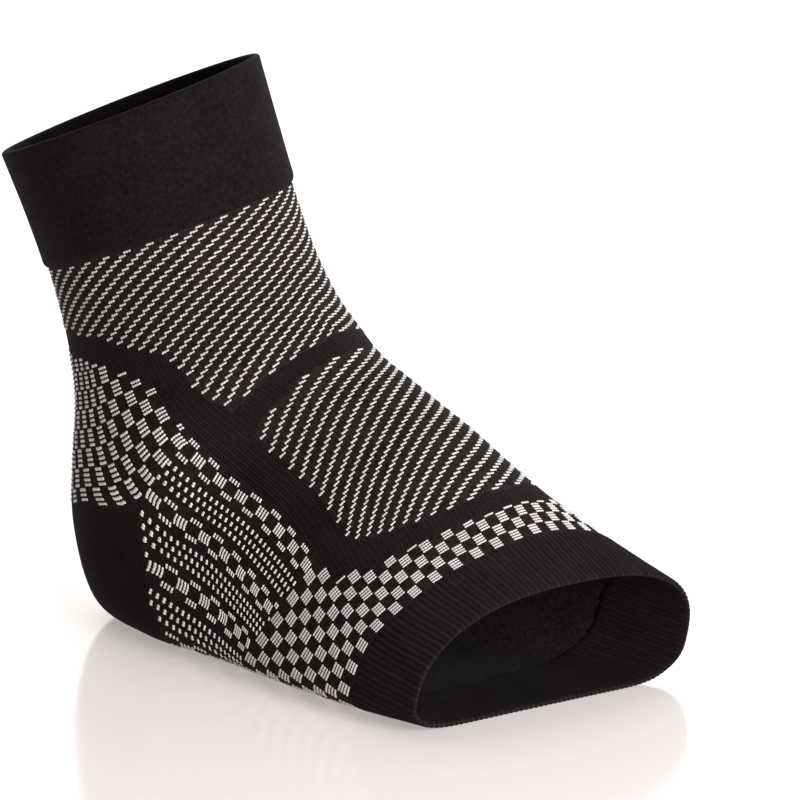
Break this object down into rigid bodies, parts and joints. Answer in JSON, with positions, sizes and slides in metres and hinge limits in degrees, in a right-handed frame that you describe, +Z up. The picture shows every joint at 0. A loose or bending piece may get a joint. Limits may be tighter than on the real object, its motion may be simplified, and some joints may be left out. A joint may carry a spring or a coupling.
{
  "type": "ankle compression sleeve",
  "caption": "Knitted ankle sleeve as worn, with a plain cuff, striped leg and instep, a crossing support band, checked sides, a heel cup and an open ribbed toe.",
  "frame": {"origin": "on the ground plane under the ankle, where the sole of the sleeve lies", "axes": "+X toward the toe opening, +Z up, -Y toward the outer side"},
  "size_m": [0.2188, 0.0957, 0.186],
  "materials": {
    "plain_knit": "matt near-black fine knit",
    "striped_knit": "near-black knit with slanting stripes of off-white stitches",
    "checked_knit": "near-black knit with checks and dots of off-white stitches"
  },
  "bodies": {
    "root": {"top_cuff": "plain_knit", "leg_panel": "striped_knit", "support_band": "plain_knit", "instep_panel": "striped_knit", "check_panel": "checked_knit", "heel_cup": "plain_knit", "toe_band": "plain_knit"}
  },
  "joints": []
}
